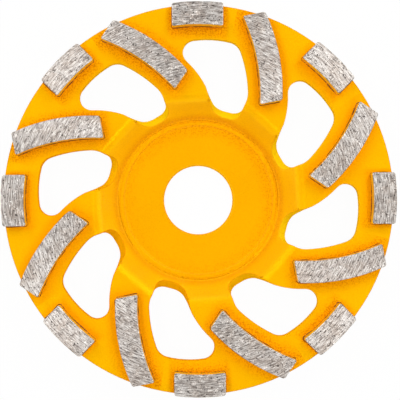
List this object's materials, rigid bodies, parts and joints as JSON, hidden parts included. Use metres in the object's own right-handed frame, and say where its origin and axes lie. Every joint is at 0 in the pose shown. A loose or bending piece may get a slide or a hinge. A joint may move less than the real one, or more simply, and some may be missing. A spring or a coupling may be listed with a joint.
{
  "type": "diamond grinding cup wheel",
  "caption": "Dished steel cup wheel for grinding stone and concrete, with swept windows, brazed abrasive segments and a plain bore for an angle grinder.",
  "frame": {"origin": "on the bore's axis, at the back face of the hub", "axes": "+Z along the axis of rotation, from the hub's back to the working face; +X through the middle of the first rim segment, within half a degree"},
  "size_m": [0.125, 0.125, 0.0161],
  "materials": {
    "painted_steel": "satin powder coat",
    "abrasive_bond": "ground, with painted sides"
  },
  "bodies": {
    "root": {"steel_body": "painted_steel", "rim_segment_1": "abrasive_bond", "rim_segment_2": "abrasive_bond", "rim_segment_3": "abrasive_bond", "rim_segment_4": "abrasive_bond", "rim_segment_5": "abrasive_bond", "rim_segment_6": "abrasive_bond", "rim_segment_7": "abrasive_bond", "rim_segment_8": "abrasive_bond", "swept_segment_1": "abrasive_bond", "swept_segment_2": "abrasive_bond", "swept_segment_3": "abrasive_bond", "swept_segment_4": "abrasive_bond", "swept_segment_5": "abrasive_bond", "swept_segment_6": "abrasive_bond", "swept_segment_7": "abrasive_bond", "swept_segment_8": "abrasive_bond"}
  },
  "joints": []
}
